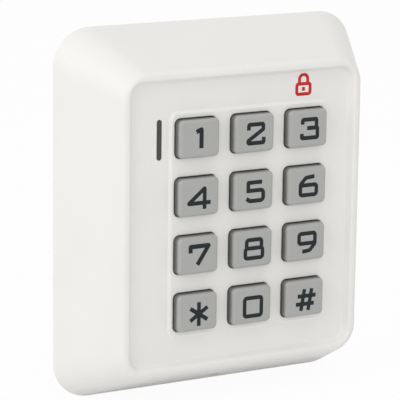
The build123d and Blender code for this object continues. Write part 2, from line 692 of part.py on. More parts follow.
def build_parts():
    parts = {"front_cover": make_front_cover(), "rear_plate": make_rear_plate()}
    for name, x, z in key_places():
        parts[f"key_{name}"] = make_key(x, z)
        parts[f"switch_plunger_{name}"] = make_plunger(x, z)
    parts["switch_bodies"] = [make_switch_body(x, z) for _, x, z in key_places()]
    parts["main_board"] = make_board()
    parts["board_screws"] = [make_board_screw(x, z) for x, z in board_hole_places()]
    parts["status_lens"] = make_status_lens()
    parts["status_leds"] = make_status_leds()
    parts["cover_screw"] = make_cover_screw()
    parts["tamper_switch"] = make_tamper_switch()
    parts["tamper_plunger"] = make_tamper_plunger()
    parts["buzzer"] = make_buzzer()
    parts["terminal_block"] = make_terminal_block()
    parts["terminal_screws"] = make_terminal_screws()
    parts["microcontroller"] = make_microcontroller()
    parts["bus_transceiver"] = make_chip(BUS_CHIP_AT, BUS_CHIP_SIZE, CHIP_HEIGHT,
                                         BUS_CHIP_LEADS, BUS_CHIP_LEAD_PITCH)
    parts["voltage_regulator"] = make_chip(REGULATOR_AT, REGULATOR_SIZE, CHIP_HEIGHT,
                                           REGULATOR_LEADS, REGULATOR_LEAD_PITCH)
    parts["crystal"] = make_crystal()
    parts["capacitors"] = make_capacitors()
    parts["pin_header"] = make_pin_header()
    parts["jumper"] = make_jumper()
    parts["chip_parts"] = make_chip_parts()
    return parts


os.makedirs("parts", exist_ok=True)
for node, shape in build_parts().items():
    export_step(as_one(shape), f"parts/{node}.step")
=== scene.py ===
# %% [markdown]
# # An alarm keypad, finished cell by cell
# The keypad's solids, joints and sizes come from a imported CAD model, the frame. This script gives
# them their looks: moulded plastics, printed numerals, a circuit board with its tracks and joints.
# The frame could be rebuilt here from boxes, but then looks and motion would drift apart. Loading
# it keeps every piece in the same place, in metres, at each pose.

# %% Load the frame
import json
from math import cos, radians, sin

import bpy
from mathutils import Matrix, Vector


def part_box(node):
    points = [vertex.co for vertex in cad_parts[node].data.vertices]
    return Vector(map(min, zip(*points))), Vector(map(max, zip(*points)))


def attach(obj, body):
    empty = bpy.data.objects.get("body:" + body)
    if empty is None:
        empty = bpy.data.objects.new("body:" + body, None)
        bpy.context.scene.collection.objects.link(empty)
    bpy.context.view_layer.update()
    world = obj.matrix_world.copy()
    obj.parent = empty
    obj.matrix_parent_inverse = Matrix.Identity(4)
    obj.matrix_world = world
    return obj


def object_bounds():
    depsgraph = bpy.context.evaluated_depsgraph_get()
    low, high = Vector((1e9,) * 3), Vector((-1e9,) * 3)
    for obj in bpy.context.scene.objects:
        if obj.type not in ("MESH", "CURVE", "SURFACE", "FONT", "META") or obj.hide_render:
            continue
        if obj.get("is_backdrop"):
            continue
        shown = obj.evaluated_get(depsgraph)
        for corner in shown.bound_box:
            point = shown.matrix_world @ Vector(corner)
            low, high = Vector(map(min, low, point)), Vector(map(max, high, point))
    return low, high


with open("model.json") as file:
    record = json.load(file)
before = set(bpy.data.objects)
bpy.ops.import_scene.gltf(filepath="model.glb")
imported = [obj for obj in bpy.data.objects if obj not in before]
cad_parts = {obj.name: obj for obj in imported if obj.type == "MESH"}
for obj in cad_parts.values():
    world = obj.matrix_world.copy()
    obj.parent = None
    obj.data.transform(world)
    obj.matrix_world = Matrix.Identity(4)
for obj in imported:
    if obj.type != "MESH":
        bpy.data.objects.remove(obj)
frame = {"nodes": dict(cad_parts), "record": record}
cad_low, cad_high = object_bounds()
nodes = frame["nodes"]
scene = bpy.context.scene
MM = 0.001
print(len(nodes), "CAD nodes, size in mm:", [round(side / MM, 1) for side in cad_high - cad_low])

# %% [markdown]
# ## The camera
# A long lens from left of the keys and a little above shows the tapered side, the dished front and
# the keys at once. It could be placed by eye. Here it stands on a sphere round the key faces, by two
# angles and a distance, and then looks at a point beside the keypad, which puts it right of centre.

# %% Camera
VIEW_AZIMUTH = radians(-30.39)
VIEW_ELEVATION = radians(13.02)
VIEW_ROLL = radians(0.72)
VIEW_DISTANCE = 0.6737
LENS = 214.85
SENSOR_WIDTH = 36
NEAREST_SEEN = 0.01
ORBIT_MIDDLE_X = 1.8 * MM
AIM_X, AIM_Z = -14.8 * MM, 6.77 * MM

orbit_middle = Vector((ORBIT_MIDDLE_X, cad_low.y, 0))
aim = Vector((AIM_X, cad_low.y, AIM_Z))
outwards = Vector((sin(VIEW_AZIMUTH) * cos(VIEW_ELEVATION),
                   -cos(VIEW_AZIMUTH) * cos(VIEW_ELEVATION), sin(VIEW_ELEVATION)))
camera = bpy.data.objects.new("camera", bpy.data.cameras.new("camera"))
scene.collection.objects.link(camera)
camera.location = orbit_middle + outwards * VIEW_DISTANCE
looking = (aim - camera.location).to_track_quat("-Z", "Y").to_matrix().to_4x4()
camera.matrix_world = (Matrix.Translation(camera.location) @ looking
                       @ Matrix.Rotation(VIEW_ROLL, 4, "Z"))
camera.data.lens = LENS
camera.data.sensor_width = SENSOR_WIDTH
camera.data.clip_start = NEAREST_SEEN
scene.camera = camera
scene.view_settings.view_transform = "Standard"
print("camera at", [round(part, 3) for part in camera.matrix_world.translation])

# %% [markdown]
# ## Nodes from short calls
# Every finish below is a small web of nodes. They could be linked one line at a time, which is long
# to read. A helper that adds a node and fills its inputs, by value or from another node's socket,
# lets each finish read like a recipe.

# %% Node helpers
def add(tree, kind, inputs=None, **settings):
    """Adds a node. An input gets a value, or is linked where a socket is given."""
    node = tree.nodes.new(kind)
    for name, value in settings.items():
        setattr(node, name, value)
    for key, value in (inputs or {}).items():
        if isinstance(value, bpy.types.NodeSocket):
            tree.links.new(value, node.inputs[key])
        else:
            node.inputs[key].default_value = value
    return node


def new_group(name, kind, inputs, outputs):
    """A node group with its named sockets: returns it with its input and output ends."""
    group = bpy.data.node_groups.new(name, kind)
    for in_out, sockets in (("INPUT", inputs), ("OUTPUT", outputs)):
        for title, socket in sockets.items():
            group.interface.new_socket(name=title, in_out=in_out, socket_type="NodeSocket" + socket)
    return group, add(group, "NodeGroupInput").outputs, add(group, "NodeGroupOutput").inputs


def math(tree, operation, *values):
    return add(tree, "ShaderNodeMath", dict(enumerate(values)), operation=operation).outputs[0]


def remap(tree, value, start, end, low, high, smooth=False):
    """The value carried from start..end to low..high and held there."""
    kind = "SMOOTHSTEP" if smooth else "LINEAR"
    inputs = {"Value": value, "From Min": start, "From Max": end, "To Min": low, "To Max": high}
    return add(tree, "ShaderNodeMapRange", inputs, interpolation_type=kind).outputs["Result"]


def mix_colours(tree, share, first, second):
    node = add(tree, "ShaderNodeMix", data_type="RGBA")
    for index, value in ((0, share), (6, first), (7, second)):
        if isinstance(value, bpy.types.NodeSocket):
            tree.links.new(value, node.inputs[index])
        else:
            node.inputs[index].default_value = value
    return node.outputs[2]


print("helpers ready")

# %% [markdown]
# ## Studio
# A white sweep under soft light is the plainest studio. The sky and the floor could simply be made
# brighter until they clip, but that would wash the white case out. Instead the camera, glossy and
# glass rays see plain white, and the light on the object stays at an ordinary level. The floor still
# takes part of its tone from that light, so that the keypad's shadow stays on it.

# %% World and floor
SKY_STRENGTH = 0.66
FLOOR_WHITE_SHARE = 0.95
FLOOR_HALF = 3.0
PAPER_WHITE = (0.92, 0.92, 0.92, 1.0)
PAPER_ROUGHNESS = 0.9
WHITE = (1.0, 1.0, 1.0, 1.0)


def seen_directly(tree):
    """1 for camera, glossy and transmission rays, and 0 for the rays that light things."""
    path = add(tree, "ShaderNodeLightPath").outputs
    seen = math(tree, "MAXIMUM", path["Is Camera Ray"], path["Is Glossy Ray"])
    return math(tree, "MAXIMUM", seen, path["Is Transmission Ray"])


world = bpy.data.worlds.new("studio")
world.use_nodes = True
scene.world = world
sky = world.node_tree
soft_sky = sky.nodes["Background"]
soft_sky.inputs["Color"].default_value = WHITE
soft_sky.inputs["Strength"].default_value = SKY_STRENGTH
plain_sky = add(sky, "ShaderNodeBackground", {"Color": WHITE, "Strength": 1.0})
both = add(sky, "ShaderNodeMixShader", {0: seen_directly(sky), 1: soft_sky.outputs[0],
                                        2: plain_sky.outputs[0]})
sky.links.new(both.outputs[0], sky.nodes["World Output"].inputs["Surface"])

floor_mesh = bpy.data.meshes.new("floor")
corners = ((-1, -1), (1, -1), (1, 1), (-1, 1))
floor_mesh.from_pydata([(x * FLOOR_HALF, y * FLOOR_HALF, cad_low.z) for x, y in corners],
                       [], [(0, 1, 2, 3)])
floor = bpy.data.objects.new("floor", floor_mesh)
scene.collection.objects.link(floor)
floor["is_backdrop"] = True

paper = bpy.data.materials.new("studio_paper")
paper.use_nodes = True
sheet = paper.node_tree
matt = sheet.nodes["Principled BSDF"]
matt.inputs["Base Color"].default_value = PAPER_WHITE
matt.inputs["Roughness"].default_value = PAPER_ROUGHNESS
glow = add(sheet, "ShaderNodeEmission", {"Color": WHITE, "Strength": 1.0})
share = math(sheet, "MULTIPLY", seen_directly(sheet), FLOOR_WHITE_SHARE)
surface = add(sheet, "ShaderNodeMixShader", {0: share, 1: matt.outputs[0], 2: glow.outputs[0]})
sheet.links.new(surface.outputs[0], sheet.nodes["Material Output"].inputs["Surface"])
floor.data.materials.append(paper)
print("floor at z =", round(cad_low.z / MM, 1), "mm")

# %% [markdown]
# ## Soft boxes
# Small lamps would draw hard dots on satin plastic. A studio hangs large soft boxes instead, and their
# long, pale reflections are what makes a rounded edge read as round. One stands at the left, where
# the tapered side is brightest, one above, and a low one in front fills the dished panel.

# %% Three soft boxes
def soft_box(name, azimuth, elevation, distance, side, power):
    """A square lamp on a sphere round the keypad, turned to face it."""
    lamp = bpy.data.lights.new(name, "AREA")
    lamp.size = side
    lamp.energy = power
    box = bpy.data.objects.new(name, lamp)
    scene.collection.objects.link(box)
    turn, rise = radians(azimuth), radians(elevation)
    box.location = distance * Vector((sin(turn) * cos(rise), -cos(turn) * cos(rise), sin(rise)))
    box.rotation_euler = (-box.location).to_track_quat("-Z", "Y").to_euler()
    return box


soft_box("left_box", azimuth=-75, elevation=30, distance=1.2, side=0.9, power=3.8)
soft_box("top_box", azimuth=10, elevation=70, distance=1.3, side=0.9, power=1.6)
soft_box("front_box", azimuth=-12, elevation=14, distance=1.4, side=1.0, power=2.1)
print("lamps:", [lamp.name for lamp in bpy.data.lights])

# %% [markdown]
# ## What moulded plastic looks like
# A moulded face copies its steel mould. The case and keys come from a spark-eroded mould, so their
# satin look is a fine, even pitting of about a tenth of a millimetre, under very slow drifts of tone.
# An image could carry that, but noise has no seams and works at any distance. One group makes tone,
# roughness and height, and each plastic sets its own values.

# %% Shader group: moulded grain
NOISE_LOW, NOISE_HIGH = 0.3, 0.7    # where most of a noise node's values lie


def make_moulded_grain():
    tree, given, out = new_group(
        "moulded_grain", "ShaderNodeTree",
        {"Vector": "Vector", "Colour": "Color", "Tone Drift": "Float", "Grain Scale": "Float",
         "Drift Scale": "Float", "Roughness": "Float", "Roughness Spread": "Float"},
        {"Colour": "Color", "Roughness": "Float", "Height": "Float"})
    grain = add(tree, "ShaderNodeTexNoise", {"Vector": given["Vector"], "Scale": given["Grain Scale"],
                                             "Detail": 3.0, "Roughness": 0.6}).outputs[0]
    drift = add(tree, "ShaderNodeTexNoise", {"Vector": given["Vector"], "Scale": given["Drift Scale"],
                                             "Detail": 2.0}).outputs[0]
    low = math(tree, "SUBTRACT", 1.0, given["Tone Drift"])
    high = math(tree, "ADD", 1.0, given["Tone Drift"])
    tone = remap(tree, drift, NOISE_LOW, NOISE_HIGH, low, high)
    toned = add(tree, "ShaderNodeVectorMath", {0: given["Colour"], "Scale": tone}, operation="SCALE")
    smoother = math(tree, "SUBTRACT", given["Roughness"], given["Roughness Spread"])
    rougher = math(tree, "ADD", given["Roughness"], given["Roughness Spread"])
    tree.links.new(toned.outputs[0], out["Colour"])
    tree.links.new(remap(tree, grain, NOISE_LOW, NOISE_HIGH, smoother, rougher), out["Roughness"])
    tree.links.new(grain, out["Height"])
    return tree


moulded_grain = make_moulded_grain()
print(moulded_grain.name, "has", len(moulded_grain.nodes), "nodes")

# %% [markdown]
# ## Painted edge highlights and painted corner shade
# Rounded edges are painted a little lighter, as a painted highlight, and inside corners a little
# darker, as painted shade. Both could be painted by hand. A bevel node tells where the surface turns,
# and an ambient occlusion node tells where it is closed in, so two small groups find those places on
# any piece.

# %% Shader groups: painted edge highlight and painted corner shade
def make_painted_edge_highlight():
    tree, given, out = new_group("painted_edge_highlight", "ShaderNodeTree",
                                 {"Reach": "Float", "Strength": "Float"}, {"Mask": "Float"})
    # A mask of where the surface turns, for a painted highlight on rounded edges.
    rounded = add(tree, "ShaderNodeBevel", {"Radius": given["Reach"]}, samples=6).outputs[0]
    plain = add(tree, "ShaderNodeNewGeometry").outputs["Normal"]
    turn = add(tree, "ShaderNodeVectorMath", {0: rounded, 1: plain}, operation="DOT_PRODUCT")
    edge = remap(tree, turn.outputs["Value"], 0.98, 0.8, 0.0, 1.0, smooth=True)
    tree.links.new(math(tree, "MULTIPLY", edge, given["Strength"]), out["Mask"])
    return tree


def make_painted_corner_shade():
    tree, given, out = new_group(
        "painted_corner_shade", "ShaderNodeTree",
        {"Colour": "Color", "Shade Colour": "Color", "Reach": "Float", "Strength": "Float"},
        {"Colour": "Color"})
    # Closed-in places take the darker colour: painted shade in inside corners.
    openness = add(tree, "ShaderNodeAmbientOcclusion", {"Distance": given["Reach"]}, samples=8)
    closed_in = remap(tree, openness.outputs["AO"], 0.85, 0.2, 0.0, 1.0, smooth=True)
    share = math(tree, "MULTIPLY", closed_in, given["Strength"])
    tree.links.new(mix_colours(tree, share, given["Colour"], given["Shade Colour"]), out["Colour"])
    return tree


painted_edge_highlight = make_painted_edge_highlight()
painted_corner_shade = make_painted_corner_shade()
print("groups:", [group.name for group in bpy.data.node_groups])

# %% [markdown]
# ## Starting each material
# Every material begins with the same three things: a Principled shader, the point on the piece, and
# the grain. They could be set up again in each one. Short helpers keep a material to the lines that
# make it different. What is the same all over goes on the shader's own socket.

# %% Material helpers
def new_material(name, **shader_values):
    """A material with a Principled shader: its tree and its shader."""
    made = bpy.data.materials.new(name)
    made.use_nodes = True
    shader = made.node_tree.nodes["Principled BSDF"]
    for socket, value in shader_values.items():
        shader.inputs[socket.replace("_", " ")].default_value = value
    return made, made.node_tree, shader


def place_on_piece(tree):
    """The point on the piece, in metres, whatever its body does."""
    return add(tree, "ShaderNodeTexCoord").outputs["Object"]


def use_group(tree, group, inputs):
    node = tree.nodes.new("ShaderNodeGroup")
    node.node_tree = group
    for title, value in inputs.items():
        if isinstance(value, bpy.types.NodeSocket):
            tree.links.new(value, node.inputs[title])
        else:
            node.inputs[title].default_value = value
    return node.outputs


def grain_on(tree, shader, colour, roughness, grain_scale=6000, depth=0.012 * MM, drift=0.012,
             spread=0.05):
    """Moulded grain on a shader: returns its colour, for more work or for the base colour."""
    grain = use_group(tree, moulded_grain, {
        "Vector": place_on_piece(tree), "Colour": colour, "Tone Drift": drift,
        "Grain Scale": grain_scale, "Drift Scale": 45.0, "Roughness": roughness,
        "Roughness Spread": spread})
    bump = add(tree, "ShaderNodeBump", {"Height": grain["Height"], "Distance": depth, "Strength": 0.6})
    tree.links.new(bump.outputs[0], shader.inputs["Normal"])
    tree.links.new(grain["Roughness"], shader.inputs["Roughness"])
    return grain["Colour"]


print("material helpers ready")

# %% [markdown]
# ## White case
# The case is white ABS with a satin spark finish. A flat white would do from afar, but the dished
# front reads as one soft form only if its corners fall off a little and its rim catches the light,
# so the grain is joined by painted shade in the inside corners and a painted highlight on the rim.

# %% Case and rear plate
# The darker white of the painted shade in inside corners.
SHADE_WHITE = (0.52, 0.51, 0.48, 1.0)


def make_white_plastic(name, colour, roughness, corner_shade_share):
    made, tree, shader = new_material(name, IOR=1.5)
    tone = grain_on(tree, shader, colour, roughness)
    # The rim is painted a little whiter: a painted highlight.
    highlight_mask = use_group(tree, painted_edge_highlight, {"Reach": 0.5 * MM, "Strength": 0.12})["Mask"]
    tone = mix_colours(tree, highlight_mask, tone, WHITE)
    # Inside corners are painted darker: painted shade.
    shaded = use_group(tree, painted_corner_shade, {"Colour": tone, "Shade Colour": SHADE_WHITE,
                                          "Reach": 1.5 * MM, "Strength": corner_shade_share})["Colour"]
    tree.links.new(shaded, shader.inputs["Base Color"])
    return made


case_white = make_white_plastic("case_white", (0.862, 0.85, 0.82, 1.0), 0.46, 0.06)
plate_white = make_white_plastic("plate_white", (0.79, 0.78, 0.752, 1.0), 0.56, 0.15)
print(case_white.name, plate_white.name)

# %% [markdown]
# ## Two-tone keys
# Each key cap is moulded in a dark plastic, and its face is sprayed silver grey before printing.
# Two materials on one cap would need the mesh to be split at the paint line. One material that
# reads the distance behind the key face gives the same soft, slightly uneven line at the edge.

# %% Key caps
PAINT_REACH = 0.3 * MM
PAINT_FADE = 1.3 * MM
PAINT_WAVER = 0.05 * MM
CAP_GREY = (0.15, 0.152, 0.15, 1.0)
PAINT_GREY = (0.42, 0.424, 0.408, 1.0)
# The lighter grey of a painted highlight on the key edges.
HIGHLIGHT_GREY = (0.62, 0.63, 0.63, 1.0)
key_face_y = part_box("key_1")[0].y


def make_key_cap():
    made, tree, shader = new_material("key_grey", IOR=1.48)
    paint = grain_on(tree, shader, PAINT_GREY, 0.42, grain_scale=9000, depth=0.008 * MM)
    place = place_on_piece(tree)
    behind = add(tree, "ShaderNodeSeparateXYZ", {0: place}).outputs["Y"]
    waver = add(tree, "ShaderNodeTexNoise", {"Vector": place, "Scale": 900.0}).outputs[0]
    swing = remap(tree, waver, NOISE_LOW, NOISE_HIGH, -PAINT_WAVER, PAINT_WAVER)
    shifted = math(tree, "ADD", behind, swing)
    line = key_face_y + PAINT_REACH
    bare = remap(tree, shifted, line, line + PAINT_FADE, 0.0, 1.0, smooth=True)
    cap = mix_colours(tree, bare, paint, CAP_GREY)
    # The cap's rounded edges are painted lighter grey: a painted highlight.
    highlight_mask = use_group(tree, painted_edge_highlight, {"Reach": 0.3 * MM, "Strength": 0.18})["Mask"]
    shine = mix_colours(tree, highlight_mask, cap, HIGHLIGHT_GREY)
    tree.links.new(shine, shader.inputs["Base Color"])
    return made


key_grey = make_key_cap()
print("paint ends", round(PAINT_REACH / MM, 2), "mm behind the key face")

# %% [markdown]
# ## Plainer plastics and clear parts
# Plungers are white acetal, sockets and chips are black, the terminals are green. They share the
# grain with their own colours. The status window is smoked plastic: real glass would show the white
# studio through it, so a dark, glossy surface with a clear coat is nearer to what is seen.

# %% Small plastics
def make_plain_plastic(name, colour, roughness, **shader_values):
    made, tree, shader = new_material(name, **shader_values)
    tree.links.new(grain_on(tree, shader, colour, roughness, drift=0.04), shader.inputs["Base Color"])
    return made


plunger_white = make_plain_plastic("plunger_white", (0.78, 0.78, 0.75, 1.0), 0.35)
black_plastic = make_plain_plastic("black_plastic", (0.022, 0.022, 0.024, 1.0), 0.5)
jumper_blue = make_plain_plastic("jumper_blue", (0.02, 0.06, 0.22, 1.0), 0.45)
terminal_green = make_plain_plastic("terminal_green", (0.04, 0.26, 0.1, 1.0), 0.42)
lens_smoke = make_plain_plastic("lens_smoke", (0.03, 0.03, 0.032, 1.0), 0.16, Coat_Weight=0.4,
                                Coat_Roughness=0.05)
led_body = make_plain_plastic("led_body", (0.8, 0.78, 0.55, 1.0), 0.25, Coat_Weight=0.5)
print(len(bpy.data.materials), "materials so far")

# %% [markdown]
# ## Metals
# Zinc-plated screws, drawn cans, gold-flashed pins and solder differ in colour and in how they
# scatter light. Scratches could be modelled, but at this size they only spread the highlight, so a
# stretched noise in the roughness and a slight bump are enough.

# %% Screws, cans, pins and solder
SCRATCH_SHADE = 0.82
GOLD = (0.86, 0.65, 0.3, 1.0)


def make_metal(name, colour, roughness, stretch):
    made, tree, shader = new_material(name, Metallic=1.0)
    place = add(tree, "ShaderNodeMapping", {"Vector": place_on_piece(tree), "Scale": stretch})
    lines = add(tree, "ShaderNodeTexNoise", {"Vector": place.outputs[0], "Scale": 3000.0,
                                             "Detail": 3.0}).outputs[0]
    dark = tuple(SCRATCH_SHADE * part for part in colour[:3]) + (1.0,)
    tree.links.new(mix_colours(tree, lines, dark, colour), shader.inputs["Base Color"])
    tree.links.new(remap(tree, lines, NOISE_LOW, NOISE_HIGH, roughness - 0.08, roughness + 0.1),
                   shader.inputs["Roughness"])
    bump = add(tree, "ShaderNodeBump", {"Height": lines, "Distance": 0.006 * MM, "Strength": 0.5})
    tree.links.new(bump.outputs[0], shader.inputs["Normal"])
    return made


screw_steel = make_metal("screw_steel", (0.66, 0.67, 0.68, 1.0), 0.32, (1.0, 1.0, 0.3))
can_metal = make_metal("can_metal", (0.74, 0.74, 0.75, 1.0), 0.28, (1.0, 0.15, 1.0))
pin_gold = make_metal("pin_gold", GOLD, 0.25, (1.0, 0.2, 1.0))
solder = make_metal("solder", (0.7, 0.71, 0.72, 1.0), 0.2, (1.0, 1.0, 1.0))
print("metals:", screw_steel.name, can_metal.name, pin_gold.name, solder.name)

# %% [markdown]
# ## One node, two materials
# A chip and its leads, or a header and its pins, are one CAD node, and its mesh isn't to be changed.
# Near the board they are one material and further out another, so the material itself compares the
# distance from the board and blends metal and plastic there.

# %% Chips and pin header
board_back_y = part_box("main_board")[1].y
LEAD_HEIGHT = 0.32 * MM
HEADER_BODY_HEIGHT = 2.56 * MM


def make_split(name, near, far, height, near_metal):
    """One finish up to a height off the board's back, and another beyond it."""
    made, tree, shader = new_material(name)
    grain = grain_on(tree, shader, near, 0.45, drift=0.05)
    off_board = add(tree, "ShaderNodeSeparateXYZ", {0: place_on_piece(tree)}).outputs["Y"]
    beyond = math(tree, "GREATER_THAN", off_board, board_back_y + height)
    tree.links.new(mix_colours(tree, beyond, grain, far), shader.inputs["Base Color"])
    metal = math(tree, "SUBTRACT", 1.0, beyond) if near_metal else beyond
    tree.links.new(metal, shader.inputs["Metallic"])
    return made


BLACK = (0.02, 0.02, 0.022, 1.0)
TIN = (0.72, 0.72, 0.74, 1.0)
chip_black = make_split("chip_black", TIN, BLACK, LEAD_HEIGHT, near_metal=True)
header_pins = make_split("header_pins", BLACK, GOLD, HEADER_BODY_HEIGHT, near_metal=False)
print("board's back at y =", round(board_back_y / MM, 2), "mm")

# %% [markdown]
# ## Circuit board
# A board is glass cloth under green solder mask. The weave shows faintly through the mask, and the
# cut edge shows the bare, yellowish cloth. Both come from the place on the board: a fine checker of
# two waves for the weave, and the distance from the faces for the cut edge.

# %% Solder mask and cut edge
WEAVE_SCALE = 260.0
MASK_DARK, MASK_LIGHT = (0.012, 0.125, 0.045, 1.0), (0.02, 0.17, 0.065, 1.0)
BARE_CLOTH = (0.42, 0.4, 0.2, 1.0)
MASK_DEPTH = 0.05 * MM


def make_board():
    made, tree, shader = new_material("board_green", Coat_Weight=0.35, Coat_Roughness=0.12)
    place = place_on_piece(tree)
    low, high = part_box("main_board")
    warp = add(tree, "ShaderNodeTexWave", {"Vector": place, "Scale": WEAVE_SCALE}, bands_direction="X")
    weft = add(tree, "ShaderNodeTexWave", {"Vector": place, "Scale": WEAVE_SCALE}, bands_direction="Z")
    weave = math(tree, "MULTIPLY", warp.outputs["Fac"], weft.outputs["Fac"])
    mask = mix_colours(tree, weave, MASK_DARK, MASK_LIGHT)
    depth = add(tree, "ShaderNodeSeparateXYZ", {0: place}).outputs["Y"]
    middle = (low.y + high.y) / 2
    from_middle = math(tree, "ABSOLUTE", math(tree, "SUBTRACT", depth, middle))
    cut = math(tree, "LESS_THAN", from_middle, (high.y - low.y) / 2 - MASK_DEPTH)
    colour = mix_colours(tree, cut, mask, BARE_CLOTH)
    tree.links.new(colour, shader.inputs["Base Color"])
    tree.links.new(remap(tree, weave, 0.0, 1.0, 0.32, 0.45), shader.inputs["Roughness"])
    bump = add(tree, "ShaderNodeBump", {"Height": weave, "Distance": 0.01 * MM, "Strength": 0.4})
    tree.links.new(bump.outputs[0], shader.inputs["Normal"])
    return made


board_green = make_board()

# %% [markdown]
# ## Finishes onto the CAD nodes
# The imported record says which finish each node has. Most follow it as it stands. A few nodes get a
# finer one of the materials above.

# %% Assign the materials
finish_of_slot = {
    "case_white": case_white, "plate_white": plate_white, "key_grey": key_grey,
    "plunger_white": plunger_white, "lens_smoke": lens_smoke, "led_body": led_body,
    "board_green": board_green, "black_plastic": black_plastic, "terminal_green": terminal_green,
    "screw_steel": screw_steel, "can_metal": can_metal, "pin_gold": pin_gold,
}
finer = {"microcontroller": chip_black, "bus_transceiver": chip_black, "chip_parts": chip_black,
         "voltage_regulator": chip_black, "pin_header": header_pins, "jumper": jumper_blue}
for part in frame["record"]["subparts"]:
    node = nodes[part["node"]]
    finish = finer.get(part["node"], finish_of_slot[part["material_slot"]])
    node.data.materials.clear()
    node.data.materials.append(finish)

# %% [markdown]
# ## Printed lines
# Numerals on keys are pad-printed: an even film of ink with soft corners. They could be text
# objects, but a font is a file and its shapes are somebody's work. Here each sign is a few strokes,
# drawn flat as edges, and one Geometry Nodes tree rounds their corners and gives them the ink's width
# and thickness. The same tree then draws everything else on this object that follows a line.

# %% Geometry Nodes tree: strokes
def make_stroke_tree():
    tree, given, out = new_group(
        "strokes", "GeometryNodeTree",
        {"Geometry": "Geometry", "Width": "Float", "Thickness": "Float", "Corner Steps": "Int",
         "Material": "Material"}, {"Geometry": "Geometry"})
    lines = add(tree, "GeometryNodeMeshToCurve", {"Mesh": given["Geometry"]})
    corner = add(tree, "GeometryNodeInputNamedAttribute", {"Name": "corner"}, data_type="FLOAT")
    soft = add(tree, "GeometryNodeFilletCurve", {
        "Curve": lines.outputs[0], "Radius": corner.outputs["Attribute"], "Limit Radius": True,
        "Count": given["Corner Steps"]}, mode="POLY")
    nib = add(tree, "GeometryNodeCurvePrimitiveQuadrilateral",
              {"Width": given["Width"], "Height": given["Thickness"]})
    ink = add(tree, "GeometryNodeCurveToMesh", {"Curve": soft.outputs[0],
                                                "Profile Curve": nib.outputs[0], "Fill Caps": True})
    union = add(tree, "GeometryNodeMeshBoolean", solver="EXACT", operation="UNION")
    union.inputs["Self Intersection"].default_value = True
    tree.links.new(ink.outputs[0], union.inputs["Mesh"])
    finish_tree(tree, union.outputs[0], given["Material"], out["Geometry"])
    return tree


def finish_tree(tree, geometry, material, out):
    """Realizes the instances and sets the material, as every tree here ends."""
    real = add(tree, "GeometryNodeRealizeInstances", {"Geometry": geometry})
    done = add(tree, "GeometryNodeSetMaterial", {"Geometry": real.outputs[0], "Material": material})
    tree.links.new(done.outputs[0], out)


stroke_tree = make_stroke_tree()
print(stroke_tree.name, "inputs:", [item.name for item in stroke_tree.interface.items_tree][1:])

# %% [markdown]
# ## From a flat sketch to a finished piece
# It is easiest to draw flat, on the XY plane, and to stand the result up afterwards. The tree runs
# as a modifier on the sketch, its result is copied out as a plain mesh, and only then is the mesh
# turned and moved to its place, so that its object stays at the origin like a CAD node.

# %% Bake a sketch
def face_front(x, y, z):
    """The flat sketch turned to face the keys' side, with its middle at a point."""
    return Matrix.Translation((x, y, z)) @ Matrix.Rotation(radians(90), 4, "X")


def face_wall(x, y, z):
    """The flat sketch turned to face the wall."""
    return Matrix.Translation((x, y, z)) @ Matrix.Rotation(radians(180), 4, "Z") @ Matrix.Rotation(
        radians(90), 4, "X")


def sketch_of(strokes):
    """A mesh of edges from strokes, each a (points, is closed, corner radius)."""
    points, edges, corners = [], [], []
    for line, closed, corner in strokes:
        first = len(points)
        points += [(x, y, 0.0) for x, y in line]
        edges += [(first + i, first + i + 1) for i in range(len(line) - 1)]
        if closed:
            edges.append((len(points) - 1, first))
        corners += [corner] * len(line)
    sketch = bpy.data.meshes.new("sketch")
    sketch.from_pydata(points, edges, [])
    sketch.attributes.new("corner", "FLOAT", "POINT").data.foreach_set("value", corners)
    return sketch


def bake(name, sketch, tree, values, place, body="case"):
    """Runs the tree on the sketch, and makes of the result a plain piece that rides on a body."""
    piece = bpy.data.objects.new(name, sketch)
    scene.collection.objects.link(piece)
    modifier = piece.modifiers.new(tree.name, "NODES")
    modifier.node_group = tree
    for item in tree.interface.items_tree:
        if item.in_out == "INPUT" and item.name in values:
            modifier[item.identifier] = values[item.name]
    graph = bpy.context.evaluated_depsgraph_get()
    grown = bpy.data.meshes.new_from_object(piece.evaluated_get(graph), depsgraph=graph)
    piece.modifiers.remove(modifier)
    piece.data = grown
    grown.transform(place)
    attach(piece, body)
    return piece


print("sketches can be baked")

# %% [markdown]
# ## Inks
# Screen ink is matt and sits on the plastic. A pure black or red would look cut out, so each ink is
# slightly off its pure colour and lets a little of the grain below show in its roughness.

# %% Ink materials
def make_ink(name, colour):
    made, tree, shader = new_material(name, Specular_IOR_Level=0.3)
    tone = grain_on(tree, shader, colour, 0.6, grain_scale=7000, depth=0.004 * MM, drift=0.06)
    tree.links.new(tone, shader.inputs["Base Color"])
    return made


dark_ink = make_ink("dark_ink", (0.010, 0.016, 0.020, 1.0))
red_ink = make_ink("red_ink", (0.62, 0.02, 0.025, 1.0))
grey_ink = make_ink("grey_ink", (0.22, 0.22, 0.22, 1.0))
white_ink = make_ink("white_ink", (0.8, 0.8, 0.78, 1.0))
print("inks:", dark_ink.name, red_ink.name, grey_ink.name, white_ink.name)

# %% [markdown]
# ## The twelve signs
# The numerals are wide and square, with soft corners. Each is written as strokes on a square from
# -1 to 1, and the square is then scaled to the printed size. A closed stroke is a ring. The last
# value of a stroke is its corner radius in millimetres.

# %% Strokes of each sign
SIGN_HALF_WIDTH = 2.75 * MM
SIGN_HALF_HEIGHT = 2.65 * MM
INK_WIDTH = 1.18 * MM
BOLD_WIDTH = 1.3 * MM
BOLD_SIGNS = ("1", "7")
INK_THICKNESS = 0.05 * MM
SIGN_SHIFT_X = 0.25 * MM
LAST_ROW = ("star", "0", "hash")
LAST_ROW_DROP = 0.4 * MM
RING, SOFT, ROUND, SHARP = 0.68, 0.35, 0.9, 0.08

